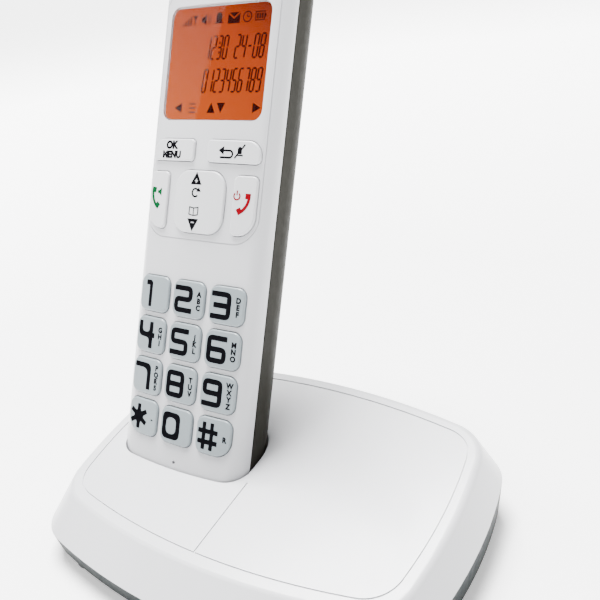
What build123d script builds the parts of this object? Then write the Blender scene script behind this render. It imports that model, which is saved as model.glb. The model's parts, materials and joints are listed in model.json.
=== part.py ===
from build123d import *
import math
import os

# Cordless phone: a handset leaning back in the left half of a low charging base.
# Frame: millimetres, +X right, +Y back, +Z up, origin on the table under the middle of the base.

# ---- driving dimensions: handset ----
handset_width = 50.0
handset_depth = 22.0
handset_head = 146.0          # top end, measured up the face from the lowest key row
handset_foot = -21.0          # bottom end, measured the same way
handset_lean = 24.76          # degrees back from upright
face_crown_radius = 200.0     # the face is gently rounded across its width
back_crown_radius = 150.0
head_corner_radius = 11.0
foot_corner_radius = 13.0
face_edge_radius = 5.5
back_edge_radius = 10.4
shell_wall = 2.0
face_inside = 2.6             # depth of the flat inside of the face
seam_depth = 6.5
seam_gap = 0.4
seam_lip = 0.8

# ---- driving dimensions: keys ----
key_pitch_x = 14.68
key_pitch_y = 13.42
dial_key_width = 12.8
dial_key_height = 11.6
dial_key_radius = 2.8
key_gap = 0.25
key_rise = 0.8                # how far a key stands above the face
key_flange = 0.8
key_edge_radius = 0.5
flange_top = 2.7
flange_bottom = 3.5
rocker_flange_top = 3.2
rocker_flange_bottom = 3.9

# ---- driving dimensions: display and inner layers (depths below the face) ----
window_left, window_right = -19.6, 19.6
window_bottom, window_top = 95.9, 131.3
window_radius = 3.4
window_depth = (1.0, 1.8)
window_ledge = 0.8
lcd_depth = (2.7, 3.9)
backlight_depth = (3.95, 5.3)
mat_depth = (4.65, 5.3)
board_depth = (5.4, 6.6)

# ---- driving dimensions: battery bay ----
cell_radius = 5.25
cell_length = 44.5
cell_depth = 14.6
cell_bottom = 24.0
bay_floor = 9.0
bay_half_width = 11.2
bay_bottom, bay_top = 20.0, 72.0
door_half_width = 17.0
door_bottom, door_top = 14.0, 72.0
door_thickness = 1.6
door_slot_depth = 1.8
door_travel = 5.5
door_gap = 0.25

# ---- driving dimensions: base ----
top_half_x, top_half_y = 62.0, 39.07
top_height, top_slope = 23.43, 0.16
join_half_x, join_half_y = 66.65, 48.63
join_shift_y = -0.67
join_height, join_slope = 11.56, 0.06
skirt_tuck = 1.45
front_bow_radius, side_bow_radius = 258.0, 218.0
base_corner_radius = 15.0
base_edge_radius = 2.2
base_wall = 2.2
groove_inset = 3.5
groove_width, groove_depth = 0.5, 0.35
divide_x, divide_front, divide_back = -0.7, -36.0, -9.0   # line between the cradle and the flat half
foot_pad_height = 2.0
foot_pad_radius = 5.0
foot_pad_recess = 0.6
pocket_gap = 0.6
pocket_wall = 2.0

# ---- planes of the leaning handset: u across, v up the face, depth into the handset ----
lean_sin = math.sin(math.radians(handset_lean))
lean_cos = math.cos(math.radians(handset_lean))
face_origin = Vector(-27.9, -6.64, 33.57)
up_face = Vector(0, lean_sin, lean_cos)
out_of_face = Vector(0, -lean_cos, lean_sin)
face = Plane(origin=face_origin, x_dir=(1, 0, 0), z_dir=out_of_face)
out_axis = Axis(face_origin, out_of_face)
up_axis = Axis(face_origin, up_face)
os.makedirs("parts", exist_ok=True)


def face_plane(depth):
    """Plane parallel to the handset's face, that far inside it."""
    return face.offset(-depth)


def cross_plane(height):
    """Plane across the handset at that height up its face; local x is u, local y is depth."""
    return Plane(origin=face_origin + up_face * height, x_dir=(1, 0, 0), z_dir=up_face)


def finish(builder, label):
    """Label a finished piece and write it."""
    builder.part.label = label
    export_step(builder.part, "parts/" + label + ".step")


def rounded(left, right, bottom, top, radii, grow=0.0):
    """Rectangle; its corner radii run bottom left, bottom right, top right, top left."""
    with BuildSketch() as outline:
        with BuildLine():
            FilletPolyline(
                (left - grow, bottom - grow),
                (right + grow, bottom - grow),
                (right + grow, top + grow),
                (left - grow, top + grow),
                radius=[r + grow for r in radii],
                close=True,
            )
        make_face()
    return outline.sketch


def face_block(left, right, bottom, top, depth, radii):
    """Solid with a rounded rectangular outline between two depths of the handset."""
    with BuildPart() as block:
        with BuildSketch(face_plane(depth[1])):
            add(rounded(left, right, bottom, top, radii))
        extrude(amount=depth[1] - depth[0])
    return block.part


def face_cylinder(u, v, radius, depth):
    """Round solid square to the face between two depths."""
    with BuildPart() as block:
        with BuildSketch(face_plane(depth[1])):
            with Locations((u, v)):
                Circle(radius)
        extrude(amount=depth[1] - depth[0])
    return block.part


def crowned_slab(grow, rise=0.0, reach=80.0):
    """Handset cross-section run along its length: crowned face and back, plain sides."""
    half = handset_width / 2
    front_drop = half ** 2 / (2 * face_crown_radius)
    back_drop = half ** 2 / (2 * back_crown_radius)
    with BuildPart() as slab:
        with BuildSketch(cross_plane(handset_foot - reach)):
            with BuildLine():
                ThreePointArc((-half, front_drop - rise), (0, -rise), (half, front_drop - rise))
                Line((half, front_drop - rise), (half, handset_depth - back_drop))
                ThreePointArc(
                    (half, handset_depth - back_drop),
                    (0, handset_depth),
                    (-half, handset_depth - back_drop),
                )
                Line((-half, handset_depth - back_drop), (-half, front_drop - rise))
            make_face()
            if grow:
                offset(amount=grow, kind=Kind.INTERSECTION, mode=Mode.REPLACE)
        extrude(amount=handset_head - handset_foot + 2 * reach)
    return slab.part


def handset_envelope(grow):
    """Whole outside shape of the handset, moved outwards by grow (inwards where negative)."""
    half = handset_width / 2
    low, high = foot_corner_radius, head_corner_radius
    with BuildPart() as envelope:
        with BuildSketch(face_plane(handset_depth / 2)):
            add(rounded(-half, half, handset_foot, handset_head, (low, low, high, high), grow))
        extrude(amount=handset_depth, both=True)
        add(crowned_slab(grow), mode=Mode.INTERSECT)
        face_edges = envelope.faces().sort_by(out_axis)[-1].edges()
        fillet(face_edges, radius=face_edge_radius + grow)
        back_edges = envelope.faces().sort_by(out_axis)[0].edges()
        fillet(back_edges, radius=back_edge_radius + grow)
    return envelope.part


handset_outside = handset_envelope(0.0)
handset_inside = handset_envelope(-shell_wall)

# ---- keys: outline corners (left, right, bottom, top) and radii, all on the face ----
dial_labels = {
    "key_1": (-1, 3), "key_2": (0, 3), "key_3": (1, 3),
    "key_4": (-1, 2), "key_5": (0, 2), "key_6": (1, 2),
    "key_7": (-1, 1), "key_8": (0, 1), "key_9": (1, 1),
    "key_star": (-1, 0), "key_0": (0, 0), "key_hash": (1, 0),
}
key_outlines = {}
for key_name, (column, row) in dial_labels.items():
    middle_u = column * key_pitch_x
    middle_v = row * key_pitch_y
    corner = [dial_key_radius] * 4
    if key_name == "key_star":
        corner[0] = 2 * dial_key_radius
    if key_name == "key_hash":
        corner[1] = 2 * dial_key_radius
    key_outlines[key_name] = (
        middle_u - dial_key_width / 2,
        middle_u + dial_key_width / 2,
        middle_v - dial_key_height / 2,
        middle_v + dial_key_height / 2,
        tuple(corner),
    )
key_outlines["key_menu"] = (-21.2, -3.6, 83.0, 89.9, (1.8, 1.6, 1.6, 4.6))
key_outlines["key_back"] = (1.6, 21.2, 83.0, 89.9, (1.6, 1.8, 4.6, 1.6))
key_outlines["key_talk"] = (-21.2, -13.2, 61.4, 79.5, (5.8, 1.8, 1.8, 1.8))
key_outlines["key_end"] = (13.0, 21.2, 61.4, 79.5, (1.8, 6.0, 1.8, 1.8))
key_outlines["key_navigation"] = (-9.9, 9.9, 60.9, 80.3, (5.6, 5.6, 5.6, 5.6))

key_dome = crowned_slab(0.0, rise=key_rise)
for key_name, (left, right, bottom, top, radii) in key_outlines.items():
    rocker = key_name == "key_navigation"
    skirt_top = rocker_flange_top if rocker else flange_top
    skirt_bottom = rocker_flange_bottom if rocker else flange_bottom
    with BuildPart() as key:
        with BuildSketch(face_plane(skirt_bottom)):
            add(rounded(left, right, bottom, top, radii))
        extrude(amount=skirt_bottom + 2 * key_rise)
        add(key_dome, mode=Mode.INTERSECT)
        fillet(key.faces().sort_by(out_axis)[-1].edges(), radius=key_edge_radius)
        with BuildSketch(face_plane(skirt_bottom)):
            add(rounded(left, right, bottom, top, radii, key_flange))
        extrude(amount=skirt_bottom - skirt_top)
    finish(key, key_name)

# ---- case screws of the handset: (u, v) ----
handset_screw_places = [(-17.0, 92.9), (17.0, 92.9), (-13.0, -10.6), (13.0, -10.6)]
handset_boss_radius = 2.1
handset_screw_radius = 1.1
handset_screw_head_radius = 2.0
handset_screw_tip, handset_screw_seat, handset_screw_top = 3.4, 15.0, 16.4

# ---- front shell ----
earpiece_v = 138.9
earpiece_slot = (14.0, 2.2)
microphone_v = -11.6
with BuildPart() as front_hollow:
    add(handset_inside)
    split(bisect_by=face_plane(face_inside), keep=Keep.BOTTOM)

key_bay = face_block(-22.4, 22.4, -7.2, 91.0, (face_inside, seam_depth - 1), (3.0,) * 4)
lcd_bay = face_block(-20.6, 20.6, 95.1, 132.1, (face_inside, seam_depth - 1), (1.0,) * 4)

# fine line round the display and the function keys, followed over the rounded face
panel_left, panel_right, panel_bottom, panel_top = -22.4, 22.4, 58.6, 135.4
panel_line_width, panel_line_depth = 0.3, 0.22
panel_radii = (8.5, 8.5, 5.0, 5.0)
with BuildPart() as panel_line:
    with BuildSketch(face_plane(seam_depth)):
        add(rounded(panel_left, panel_right, panel_bottom, panel_top, panel_radii))
        panel_inside = rounded(panel_left, panel_right, panel_bottom, panel_top, panel_radii, -panel_line_width)
        add(panel_inside, mode=Mode.SUBTRACT)
    extrude(amount=seam_depth + 1)
    add(handset_envelope(-panel_line_depth), mode=Mode.SUBTRACT)

with BuildPart() as front_shell:
    add(handset_outside)
    split(bisect_by=face_plane(seam_depth), keep=Keep.TOP)
    add(front_hollow.part, mode=Mode.SUBTRACT)
    add(key_bay, mode=Mode.SUBTRACT)
    add(lcd_bay, mode=Mode.SUBTRACT)
    with BuildSketch(face_plane(seam_depth)):
        with Locations(*handset_screw_places):
            Circle(handset_boss_radius)
    extrude(amount=seam_depth - face_inside)
    with BuildSketch(face_plane(seam_depth)):
        with Locations(*handset_screw_places):
            Circle(handset_screw_radius)
    extrude(amount=seam_depth - handset_screw_tip, mode=Mode.SUBTRACT)
    for left, right, bottom, top, radii in key_outlines.values():
        with BuildSketch(face_plane(face_inside + 0.1)):
            add(rounded(left, right, bottom, top, radii, key_gap))
        extrude(amount=face_inside + 2, mode=Mode.SUBTRACT)
    add(panel_line.part, mode=Mode.SUBTRACT)
    window_radii = (window_radius,) * 4
    with BuildSketch(face_plane(window_depth[1])):
        add(rounded(window_left, window_right, window_bottom, window_top, window_radii, 0.1))
    extrude(amount=window_depth[1] + 2, mode=Mode.SUBTRACT)
    with BuildSketch(face_plane(face_inside + 0.1)):
        add(rounded(window_left, window_right, window_bottom, window_top, window_radii, -window_ledge))
    extrude(amount=face_inside + 2, mode=Mode.SUBTRACT)
    with BuildSketch(face_plane(face_inside + 0.1)):
        with Locations((0, earpiece_v)):
            SlotOverall(*earpiece_slot)
        with Locations((0, microphone_v)):
            Circle(0.6)
    extrude(amount=face_inside + 2, mode=Mode.SUBTRACT)
finish(front_shell, "handset_front_shell")

# ---- rear shell: shell, battery bay, door recess, speaker holes, screw bosses ----
speaker_v = 108.0
speaker_hole_radius = 0.9
speaker_hole_pitch = 3.2
contact_u = 8.0
contact_depth = 8.6
contact_plate = (4.4, 3.0)
door_floor = handset_envelope(-door_slot_depth)


def door_prism(grow_side, bottom, top, depth_start):
    """Block behind the handset's face with the door's outline."""
    half = door_half_width + grow_side
    return face_block(-half, half, bottom, top, (depth_start, handset_depth + 2), (2.0,) * 4)


with BuildPart() as door_recess:
    add(door_prism(door_gap, door_bottom - door_travel - 0.5, door_top + door_gap, 12.0))
    add(door_floor, mode=Mode.SUBTRACT)

with BuildPart() as door_backing:
    add(door_prism(1.6, door_bottom - door_travel - 2.0, door_top + 1.6, 12.0))
    add(door_floor, mode=Mode.INTERSECT)
    add(handset_envelope(-door_slot_depth - 1.4), mode=Mode.SUBTRACT)

with BuildPart() as bay_tub:
    add(face_block(-13.0, 13.0, bay_bottom - 1.8, bay_top - 1.0, (bay_floor - 1.4, 30.0), (1.5,) * 4))
    add(door_floor, mode=Mode.INTERSECT)

with BuildPart() as rear_bosses:
    with BuildSketch(face_plane(seam_depth + seam_gap)):
        with Locations(*handset_screw_places):
            Circle(handset_boss_radius + 0.6)
    extrude(amount=-handset_depth)
    add(handset_outside, mode=Mode.INTERSECT)

with BuildPart() as seam_tongue:
    add(handset_envelope(-seam_lip))
    split(bisect_by=face_plane(seam_depth + seam_gap + 1.0), keep=Keep.TOP)
    split(bisect_by=face_plane(seam_depth), keep=Keep.BOTTOM)
    add(handset_inside, mode=Mode.SUBTRACT)

with BuildPart() as rear_shell:
    add(handset_outside)
    split(bisect_by=face_plane(seam_depth + seam_gap), keep=Keep.BOTTOM)
    add(handset_inside, mode=Mode.SUBTRACT)
    add(door_backing.part)
    add(bay_tub.part)
    add(rear_bosses.part)
    add(door_recess.part, mode=Mode.SUBTRACT)
    add(
        face_block(-bay_half_width, bay_half_width, bay_bottom, bay_top - 2.8, (bay_floor, 30.0), (1.0,) * 4),
        mode=Mode.SUBTRACT,
    )
    with BuildSketch(face_plane(seam_depth)):
        with Locations(*handset_screw_places):
            Circle(handset_screw_radius)
    extrude(amount=-handset_depth, mode=Mode.SUBTRACT)
    with BuildSketch(face_plane(handset_screw_seat)):
        with Locations(*handset_screw_places):
            Circle(handset_screw_head_radius + 0.2)
    extrude(amount=-handset_depth, mode=Mode.SUBTRACT)
    with BuildSketch(face_plane(handset_depth - 3)):
        with Locations((0, speaker_v)):
            with HexLocations(speaker_hole_pitch / 2, 5, 5):
                Circle(speaker_hole_radius)
    extrude(amount=-6, mode=Mode.SUBTRACT)
    add(seam_tongue.part)
    with BuildSketch(cross_plane(handset_foot - 1)):
        with Locations((-contact_u, contact_depth), (contact_u, contact_depth)):
            Rectangle(*contact_plate)
    extrude(amount=shell_wall + 2, mode=Mode.SUBTRACT)
finish(rear_shell, "handset_rear_shell")

# ---- battery door: slides down its recess; ribs across its lower end ----
with BuildPart() as battery_door:
    add(handset_outside)
    add(handset_envelope(-door_thickness), mode=Mode.SUBTRACT)
    add(door_prism(0.0, door_bottom, door_top, 12.0), mode=Mode.INTERSECT)
    for rib in range(4):
        rib_v = door_bottom + 6.0 + 2.4 * rib
        add(face_block(-6.0, 6.0, rib_v, rib_v + 0.9, (21.6, 22.4), (0.3,) * 4), mode=Mode.SUBTRACT)
finish(battery_door, "battery_door")

# ---- display ----
with BuildPart() as display_window:
    with BuildSketch(face_plane(window_depth[1])):
        add(rounded(window_left, window_right, window_bottom, window_top, window_radii))
    extrude(amount=window_depth[1] - window_depth[0])
finish(display_window, "display_window")

with BuildPart() as lcd_panel:
    add(face_block(-20.2, 20.2, 95.4, 131.8, lcd_depth, (0.8,) * 4))
finish(lcd_panel, "lcd_panel")

with BuildPart() as lcd_backlight:
    add(face_block(-20.2, 20.2, 96.4, 131.8, backlight_depth, (0.8,) * 4))
finish(lcd_backlight, "lcd_backlight")

# ---- keypad mat and circuit board, both notched round the screw bosses ----
notch_radius = handset_boss_radius + 0.3
with BuildPart() as keypad_mat:
    with BuildSketch(face_plane(mat_depth[1])):
        add(rounded(-22.0, 22.0, -7.5, 91.0, (2.0, 2.0, 1.0, 1.0)))
        with Locations(*handset_screw_places):
            Circle(notch_radius, mode=Mode.SUBTRACT)
    extrude(amount=mat_depth[1] - mat_depth[0])
finish(keypad_mat, "keypad_mat")

with BuildPart() as handset_board:
    with BuildSketch(face_plane(board_depth[1])):
        add(rounded(-21.6, 21.6, -17.4, 131.6, (10.0, 10.0, 1.0, 1.0)))
        with Locations(*handset_screw_places):
            Circle(notch_radius, mode=Mode.SUBTRACT)
    extrude(amount=board_depth[1] - board_depth[0])
finish(handset_board, "handset_circuit_board")

# ---- sound parts ----
with BuildPart() as earpiece_mesh:
    with BuildSketch(face_plane(face_inside + 0.3)):
        with Locations((0, earpiece_v)):
            SlotOverall(earpiece_slot[0] + 2, earpiece_slot[1] + 2)
    extrude(amount=0.25)
finish(earpiece_mesh, "earpiece_mesh")

with BuildPart() as earpiece_speaker:
    add(face_block(-8.5, 8.5, 132.6, 143.0, (face_inside + 0.4, 6.0), (4.0,) * 4))
finish(earpiece_speaker, "earpiece_speaker")

with BuildPart() as handsfree_speaker:
    add(face_cylinder(0, speaker_v, 9.0, (13.6, 16.2)))
    add(face_cylinder(0, speaker_v, 11.5, (16.2, 19.0)))
    add(face_cylinder(0, speaker_v, 10.5, (18.4, 19.0)), mode=Mode.SUBTRACT)
    add(face_cylinder(0, speaker_v, 5.0, (17.8, 19.0)))
finish(handsfree_speaker, "handsfree_speaker")

with BuildPart() as microphone:
    add(face_cylinder(0, microphone_v, 2.6, (face_inside + 0.1, board_depth[0])))
finish(microphone, "microphone")

# ---- battery: two cells side by side, end plates, springs' plate ----
for side_name, side in (("left", -1), ("right", 1)):
    with BuildPart() as cell:
        cell_plane = Plane(
            origin=face.from_local_coords((side * (cell_radius + 0.2), cell_bottom, -cell_depth)),
            x_dir=(1, 0, 0),
            z_dir=up_face,
        )
        with BuildSketch(cell_plane):
            Circle(cell_radius)
        extrude(amount=cell_length - 1.2)
        fillet(cell.edges().filter_by(GeomType.CIRCLE), radius=0.5)
        with BuildSketch(cell_plane.offset(cell_length - 1.2)):
            Circle(1.9)
        extrude(amount=0.8)
    finish(cell, "battery_cell_" + side_name)

with BuildPart() as battery_contacts:
    for side in (-1, 1):
        middle = side * (cell_radius + 0.2)
        for low, high in ((bay_bottom + 0.1, bay_bottom + 0.5), (bay_top - 3.3, bay_top - 2.9)):
            add(face_block(middle - 4.2, middle + 4.2, low, high, (bay_floor + 0.5, 19.0), (0.1,) * 4))
finish(battery_contacts, "battery_contact_plates")

spring_wire = 0.35
with BuildPart() as battery_springs:
    for side in (-1, 1):
        spring_origin = face.from_local_coords((side * (cell_radius + 0.2), bay_bottom + 0.9, -cell_depth))
        spring_plane = Plane(origin=spring_origin, x_dir=(1, 0, 0), z_dir=up_face)
        for turn in range(3):
            with BuildSketch(Plane(origin=spring_origin, x_dir=(1, 0, 0), z_dir=(0, -up_face.Z, up_face.Y))):
                with Locations((2.4 - 0.4 * turn, 0.9 * turn)):
                    Circle(spring_wire)
            revolve(axis=Axis(spring_origin, up_face), revolution_arc=360)
finish(battery_springs, "battery_springs")

with BuildPart() as handset_screws:
    for u, v in handset_screw_places:
        add(face_cylinder(u, v, handset_screw_radius, (handset_screw_tip, handset_screw_seat)))
        add(face_cylinder(u, v, handset_screw_head_radius, (handset_screw_seat, handset_screw_top)))
        add(face_block(u - 1.2, u + 1.2, v - 0.3, v + 0.3, (15.8, 16.4), (0.1,) * 4), mode=Mode.SUBTRACT)
        add(face_block(u - 0.3, u + 0.3, v - 1.2, v + 1.2, (15.8, 16.4), (0.1,) * 4), mode=Mode.SUBTRACT)
finish(handset_screws, "handset_screws")

# ---- charging contacts in the foot of the handset ----
with BuildPart() as charge_contacts:
    with BuildSketch(cross_plane(handset_foot)):
        with Locations((-contact_u, contact_depth), (contact_u, contact_depth)):
            Rectangle(*contact_plate)
    extrude(amount=shell_wall + 0.4)
finish(charge_contacts, "handset_charge_contacts")

# ---- base: outlines are four bowed sides with rounded corners ----
top_plane = Plane(origin=(0, 0, top_height), x_dir=(1, 0, 0), z_dir=(0, -top_slope, 1))
join_plane = Plane(origin=(0, join_shift_y, join_height), x_dir=(1, 0, 0), z_dir=(0, -join_slope, 1))
bottom_plane = Plane(origin=(0, join_shift_y, foot_pad_height), x_dir=(1, 0, 0), z_dir=(0, 0, 1))


def bowed_outline(half_x, half_y, inset=0.0):
    """Outline with four bowed sides; half sizes are to the middle of each side, before the inset."""
    half_x = half_x - inset
    half_y = half_y - inset
    reach_x = half_x - half_y ** 2 / (2 * side_bow_radius)
    reach_y = half_y - half_x ** 2 / (2 * front_bow_radius)
    with BuildSketch() as outline:
        with BuildLine():
            ThreePointArc((-reach_x, -reach_y), (0, -half_y), (reach_x, -reach_y))
            ThreePointArc((reach_x, -reach_y), (half_x, 0), (reach_x, reach_y))
            ThreePointArc((reach_x, reach_y), (0, half_y), (-reach_x, reach_y))
            ThreePointArc((-reach_x, reach_y), (-half_x, 0), (-reach_x, -reach_y))
        make_face()
        fillet(outline.vertices(), radius=base_corner_radius - inset)
    return outline.sketch


def bowed_loft(lower_plane, lower_half, upper_plane, upper_half, inset=0.0):
    """Solid between two bowed outlines."""
    with BuildPart() as block:
        with BuildSketch(lower_plane):
            add(bowed_outline(*lower_half, inset))
        with BuildSketch(upper_plane):
            add(bowed_outline(*upper_half, inset))
        loft(ruled=True)
    return block.part


top_half = (top_half_x, top_half_y * math.sqrt(1 + top_slope ** 2))
join_half = (join_half_x, join_half_y)
bottom_half = (join_half_x - skirt_tuck, join_half_y - skirt_tuck)

# ---- the pocket that holds the handset's foot ----
with BuildPart() as pocket_liner:
    add(handset_envelope(pocket_gap + pocket_wall))
    split(bisect_by=top_plane.offset(-0.6), keep=Keep.BOTTOM)

pocket_space = handset_envelope(pocket_gap)

# ---- case screws, pads and fittings of the base ----
base_screw_places = [(-47.0, -26.0), (47.0, -26.0), (-47.0, 26.0), (47.0, 26.0)]
base_screw_radius = 1.5
base_screw_head_radius = 2.8
base_screw_seat = 4.4
base_screw_tip = 13.5
base_boss_radius = 3.2
pad_places = [(-44.0, -38.0), (44.0, -38.0), (-44.0, 37.0), (44.0, 37.0)]
pin_places = [(-contact_u, contact_depth), (contact_u, contact_depth)]
pin_radius = 1.2
pin_clearance = 0.06
pin_flange_radius = 1.8
pin_top = handset_foot - 0.05
pin_flange_top = handset_foot - pocket_gap - pocket_wall
pin_flange_bottom = pin_flange_top - 0.7
pin_holder_bottom = pin_flange_bottom - 1.3
pin_travel = 1.0

with BuildPart() as top_bosses:
    with BuildSketch(Plane.XY):
        with Locations(*base_screw_places):
            Circle(base_boss_radius)
    extrude(amount=top_height * 2)
    split(bisect_by=top_plane.offset(-base_wall / 2), keep=Keep.BOTTOM)
    split(bisect_by=join_plane, keep=Keep.TOP)

with BuildPart() as groove_ring:
    with BuildSketch(top_plane.offset(-groove_depth)):
        add(bowed_outline(*top_half, groove_inset))
        add(bowed_outline(*top_half, groove_inset + groove_width), mode=Mode.SUBTRACT)
        with Locations((divide_x, (divide_front + divide_back) / 2)):
            Rectangle(groove_width, divide_back - divide_front)
    extrude(amount=groove_depth + 1)

with BuildPart() as base_top_shell:
    add(bowed_loft(join_plane, join_half, top_plane, top_half))
    fillet(base_top_shell.faces().sort_by(Axis.Z)[-1].edges(), radius=base_edge_radius)
    add(
        bowed_loft(join_plane.offset(-1), join_half, top_plane.offset(-base_wall), top_half, base_wall),
        mode=Mode.SUBTRACT,
    )
    add(top_bosses.part)
    add(pocket_liner.part)
    add(pocket_space, mode=Mode.SUBTRACT)
    add(groove_ring.part, mode=Mode.SUBTRACT)
    with BuildSketch(Plane.XY):
        with Locations(*base_screw_places):
            Circle(base_screw_radius)
    extrude(amount=base_screw_tip, mode=Mode.SUBTRACT)
    with BuildSketch(cross_plane(handset_foot - 6)):
        with Locations(*pin_places):
            Circle(pin_radius + pin_clearance)
    extrude(amount=8, mode=Mode.SUBTRACT)
finish(base_top_shell, "base_top_shell")

# ---- base bottom shell: tub with screw posts, pad recesses, socket and button openings ----
socket_height = 9.0
line_socket_x, line_socket_width = 38.0, 13.0
power_socket_x, power_socket_width = 20.0, 9.0
socket_front = 30.2
line_socket_back, power_socket_back = 43.0, 45.4
socket_half_height = 4.5
socket_opening_gap = 0.15
page_x = -18.0
page_button_width, page_button_height = 14.0, 6.4
page_button_gap = 0.25
board_height, board_thickness = 8.0, 1.6
board_posts = [(8.0, -25.0), (36.0, -25.0), (8.0, 24.0), (50.0, 12.0), (-36.0, 24.5)]


def wall_block(x, width, front, back, half_height, radius):
    """Block along Y at the height of the sockets in the rear wall."""
    with BuildPart() as block:
        with BuildSketch(Plane(origin=(x, front, socket_height), x_dir=(-1, 0, 0), z_dir=(0, 1, 0))):
            RectangleRounded(width, 2 * half_height, radius)
        extrude(amount=back - front)
    return block.part


with BuildPart() as bottom_posts:
    with BuildSketch(Plane.XY.offset(foot_pad_height + 1)):
        with Locations(*base_screw_places):
            Circle(base_boss_radius + 1)
    extrude(amount=top_height)
    split(bisect_by=join_plane, keep=Keep.BOTTOM)
    with BuildSketch(Plane.XY.offset(foot_pad_height + 1)):
        with Locations(*board_posts):
            Circle(2.5)
    extrude(amount=board_height - foot_pad_height - 1)

with BuildPart() as base_bottom_shell:
    add(bowed_loft(bottom_plane, bottom_half, join_plane, join_half))
    fillet(base_bottom_shell.faces().sort_by(Axis.Z)[0].edges(), radius=1.0)
    add(
        bowed_loft(bottom_plane.offset(base_wall), bottom_half, join_plane.offset(1), join_half, base_wall),
        mode=Mode.SUBTRACT,
    )
    add(bottom_posts.part)
    with BuildSketch(Plane.XY):
        with Locations(*base_screw_places):
            Circle(base_screw_radius + 0.1)
    extrude(amount=top_height, mode=Mode.SUBTRACT)
    with BuildSketch(Plane.XY):
        with Locations(*base_screw_places):
            Circle(base_screw_head_radius + 0.3)
    extrude(amount=base_screw_seat, mode=Mode.SUBTRACT)
    with BuildSketch(Plane.XY):
        with Locations(*pad_places):
            Circle(foot_pad_radius)
    extrude(amount=foot_pad_height + foot_pad_recess, mode=Mode.SUBTRACT)
    opening_half_height = socket_half_height + socket_opening_gap
    for socket_x, socket_width in ((line_socket_x, line_socket_width), (power_socket_x, power_socket_width)):
        opening_width = socket_width + 2 * socket_opening_gap
        add(wall_block(socket_x, opening_width, 40, 52, opening_half_height, 0.3), mode=Mode.SUBTRACT)
    page_hole_width = page_button_width + 2 * page_button_gap
    page_hole_half = page_button_height / 2 + page_button_gap
    add(wall_block(page_x, page_hole_width, 40, 52, page_hole_half, 3.1), mode=Mode.SUBTRACT)
finish(base_bottom_shell, "base_bottom_shell")

with BuildPart() as rubber_feet:
    with BuildSketch(Plane.XY):
        with Locations(*pad_places):
            Circle(foot_pad_radius - 0.05)
    extrude(amount=foot_pad_height + foot_pad_recess)
    fillet(rubber_feet.faces().group_by(Axis.Z)[0].edges(), radius=0.6)
finish(rubber_feet, "rubber_feet")

with BuildPart() as base_screws:
    with BuildSketch(Plane.XY.offset(base_screw_seat)):
        with Locations(*base_screw_places):
            Circle(base_screw_radius - 0.05)
    extrude(amount=base_screw_tip - base_screw_seat - 0.2)
    with BuildSketch(Plane.XY.offset(base_screw_seat - 1.4)):
        with Locations(*base_screw_places):
            Circle(base_screw_head_radius)
    extrude(amount=1.4)
    with BuildSketch(Plane.XY.offset(base_screw_seat - 1.4)):
        with Locations(*base_screw_places):
            Rectangle(3.2, 0.6)
            Rectangle(0.6, 3.2)
    extrude(amount=0.8, mode=Mode.SUBTRACT)
finish(base_screws, "base_screws")

# ---- base circuit board and what sits on it ----
with BuildPart() as base_board:
    with BuildSketch(Plane.XY.offset(board_height)):
        with BuildLine():
            FilletPolyline(
                (3, -30), (54, -30), (56, 14), (41, 30), (-44, 30), (-44, 19), (3, 19),
                radius=1.5, close=True,
            )
        make_face()
        with Locations(*base_screw_places):
            Circle(base_boss_radius + 1.4, mode=Mode.SUBTRACT)
    extrude(amount=board_thickness)
finish(base_board, "base_circuit_board")

board_top = board_height + board_thickness
with BuildPart() as radio_shield:
    with BuildSketch(Plane.XY.offset(board_top)):
        with Locations((22, -8)):
            RectangleRounded(24, 20, 1)
    extrude(amount=4)
    fillet(radio_shield.faces().sort_by(Axis.Z)[-1].edges(), radius=0.5)
finish(radio_shield, "radio_shield_can")

# ---- sockets: a six-way line socket and a barrel power socket ----
line_opening_width, line_opening_half = 9.8, 3.3
latch_opening_width, latch_opening_half = 3.4, 4.0
line_opening_front = 34.0
with BuildPart() as line_socket:
    add(
        wall_block(
            line_socket_x, line_socket_width, socket_front, line_socket_back, socket_half_height, 0.4
        )
    )
    add(
        wall_block(line_socket_x, line_opening_width, line_opening_front, 52, line_opening_half, 0.3),
        mode=Mode.SUBTRACT,
    )
    add(
        wall_block(line_socket_x, latch_opening_width, line_opening_front, 52, latch_opening_half, 0.2),
        mode=Mode.SUBTRACT,
    )
finish(line_socket, "line_socket")

wire_plane = Plane(
    origin=(line_socket_x, line_opening_front, socket_height + 2.6), x_dir=(-1, 0, 0), z_dir=(0, 1, 0)
)
with BuildPart() as line_socket_wires:
    with BuildSketch(wire_plane):
        with GridLocations(1.02, 1, 4, 1):
            Rectangle(0.5, 0.4)
    extrude(amount=8.5)
finish(line_socket_wires, "line_socket_wires")

power_bore_radius, power_bore_length, power_pin_radius = 3.1, 10.0, 1.0
power_plane = Plane(origin=(power_socket_x, power_socket_back, socket_height), z_dir=(0, 1, 0))
with BuildPart() as power_socket:
    add(
        wall_block(
            power_socket_x, power_socket_width, socket_front, power_socket_back, socket_half_height, 0.4
        )
    )
    with BuildSketch(power_plane.offset(-power_bore_length)):
        Circle(power_bore_radius)
    extrude(amount=power_bore_length + 1, mode=Mode.SUBTRACT)
finish(power_socket, "power_socket")

with BuildPart() as power_socket_pin:
    with BuildSketch(power_plane.offset(-power_bore_length)):
        Circle(power_pin_radius)
    extrude(amount=power_bore_length - 1.4)
    fillet(power_socket_pin.faces().sort_by(Axis.Y)[-1].edges(), radius=0.4)
finish(power_socket_pin, "power_socket_pin")

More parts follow.
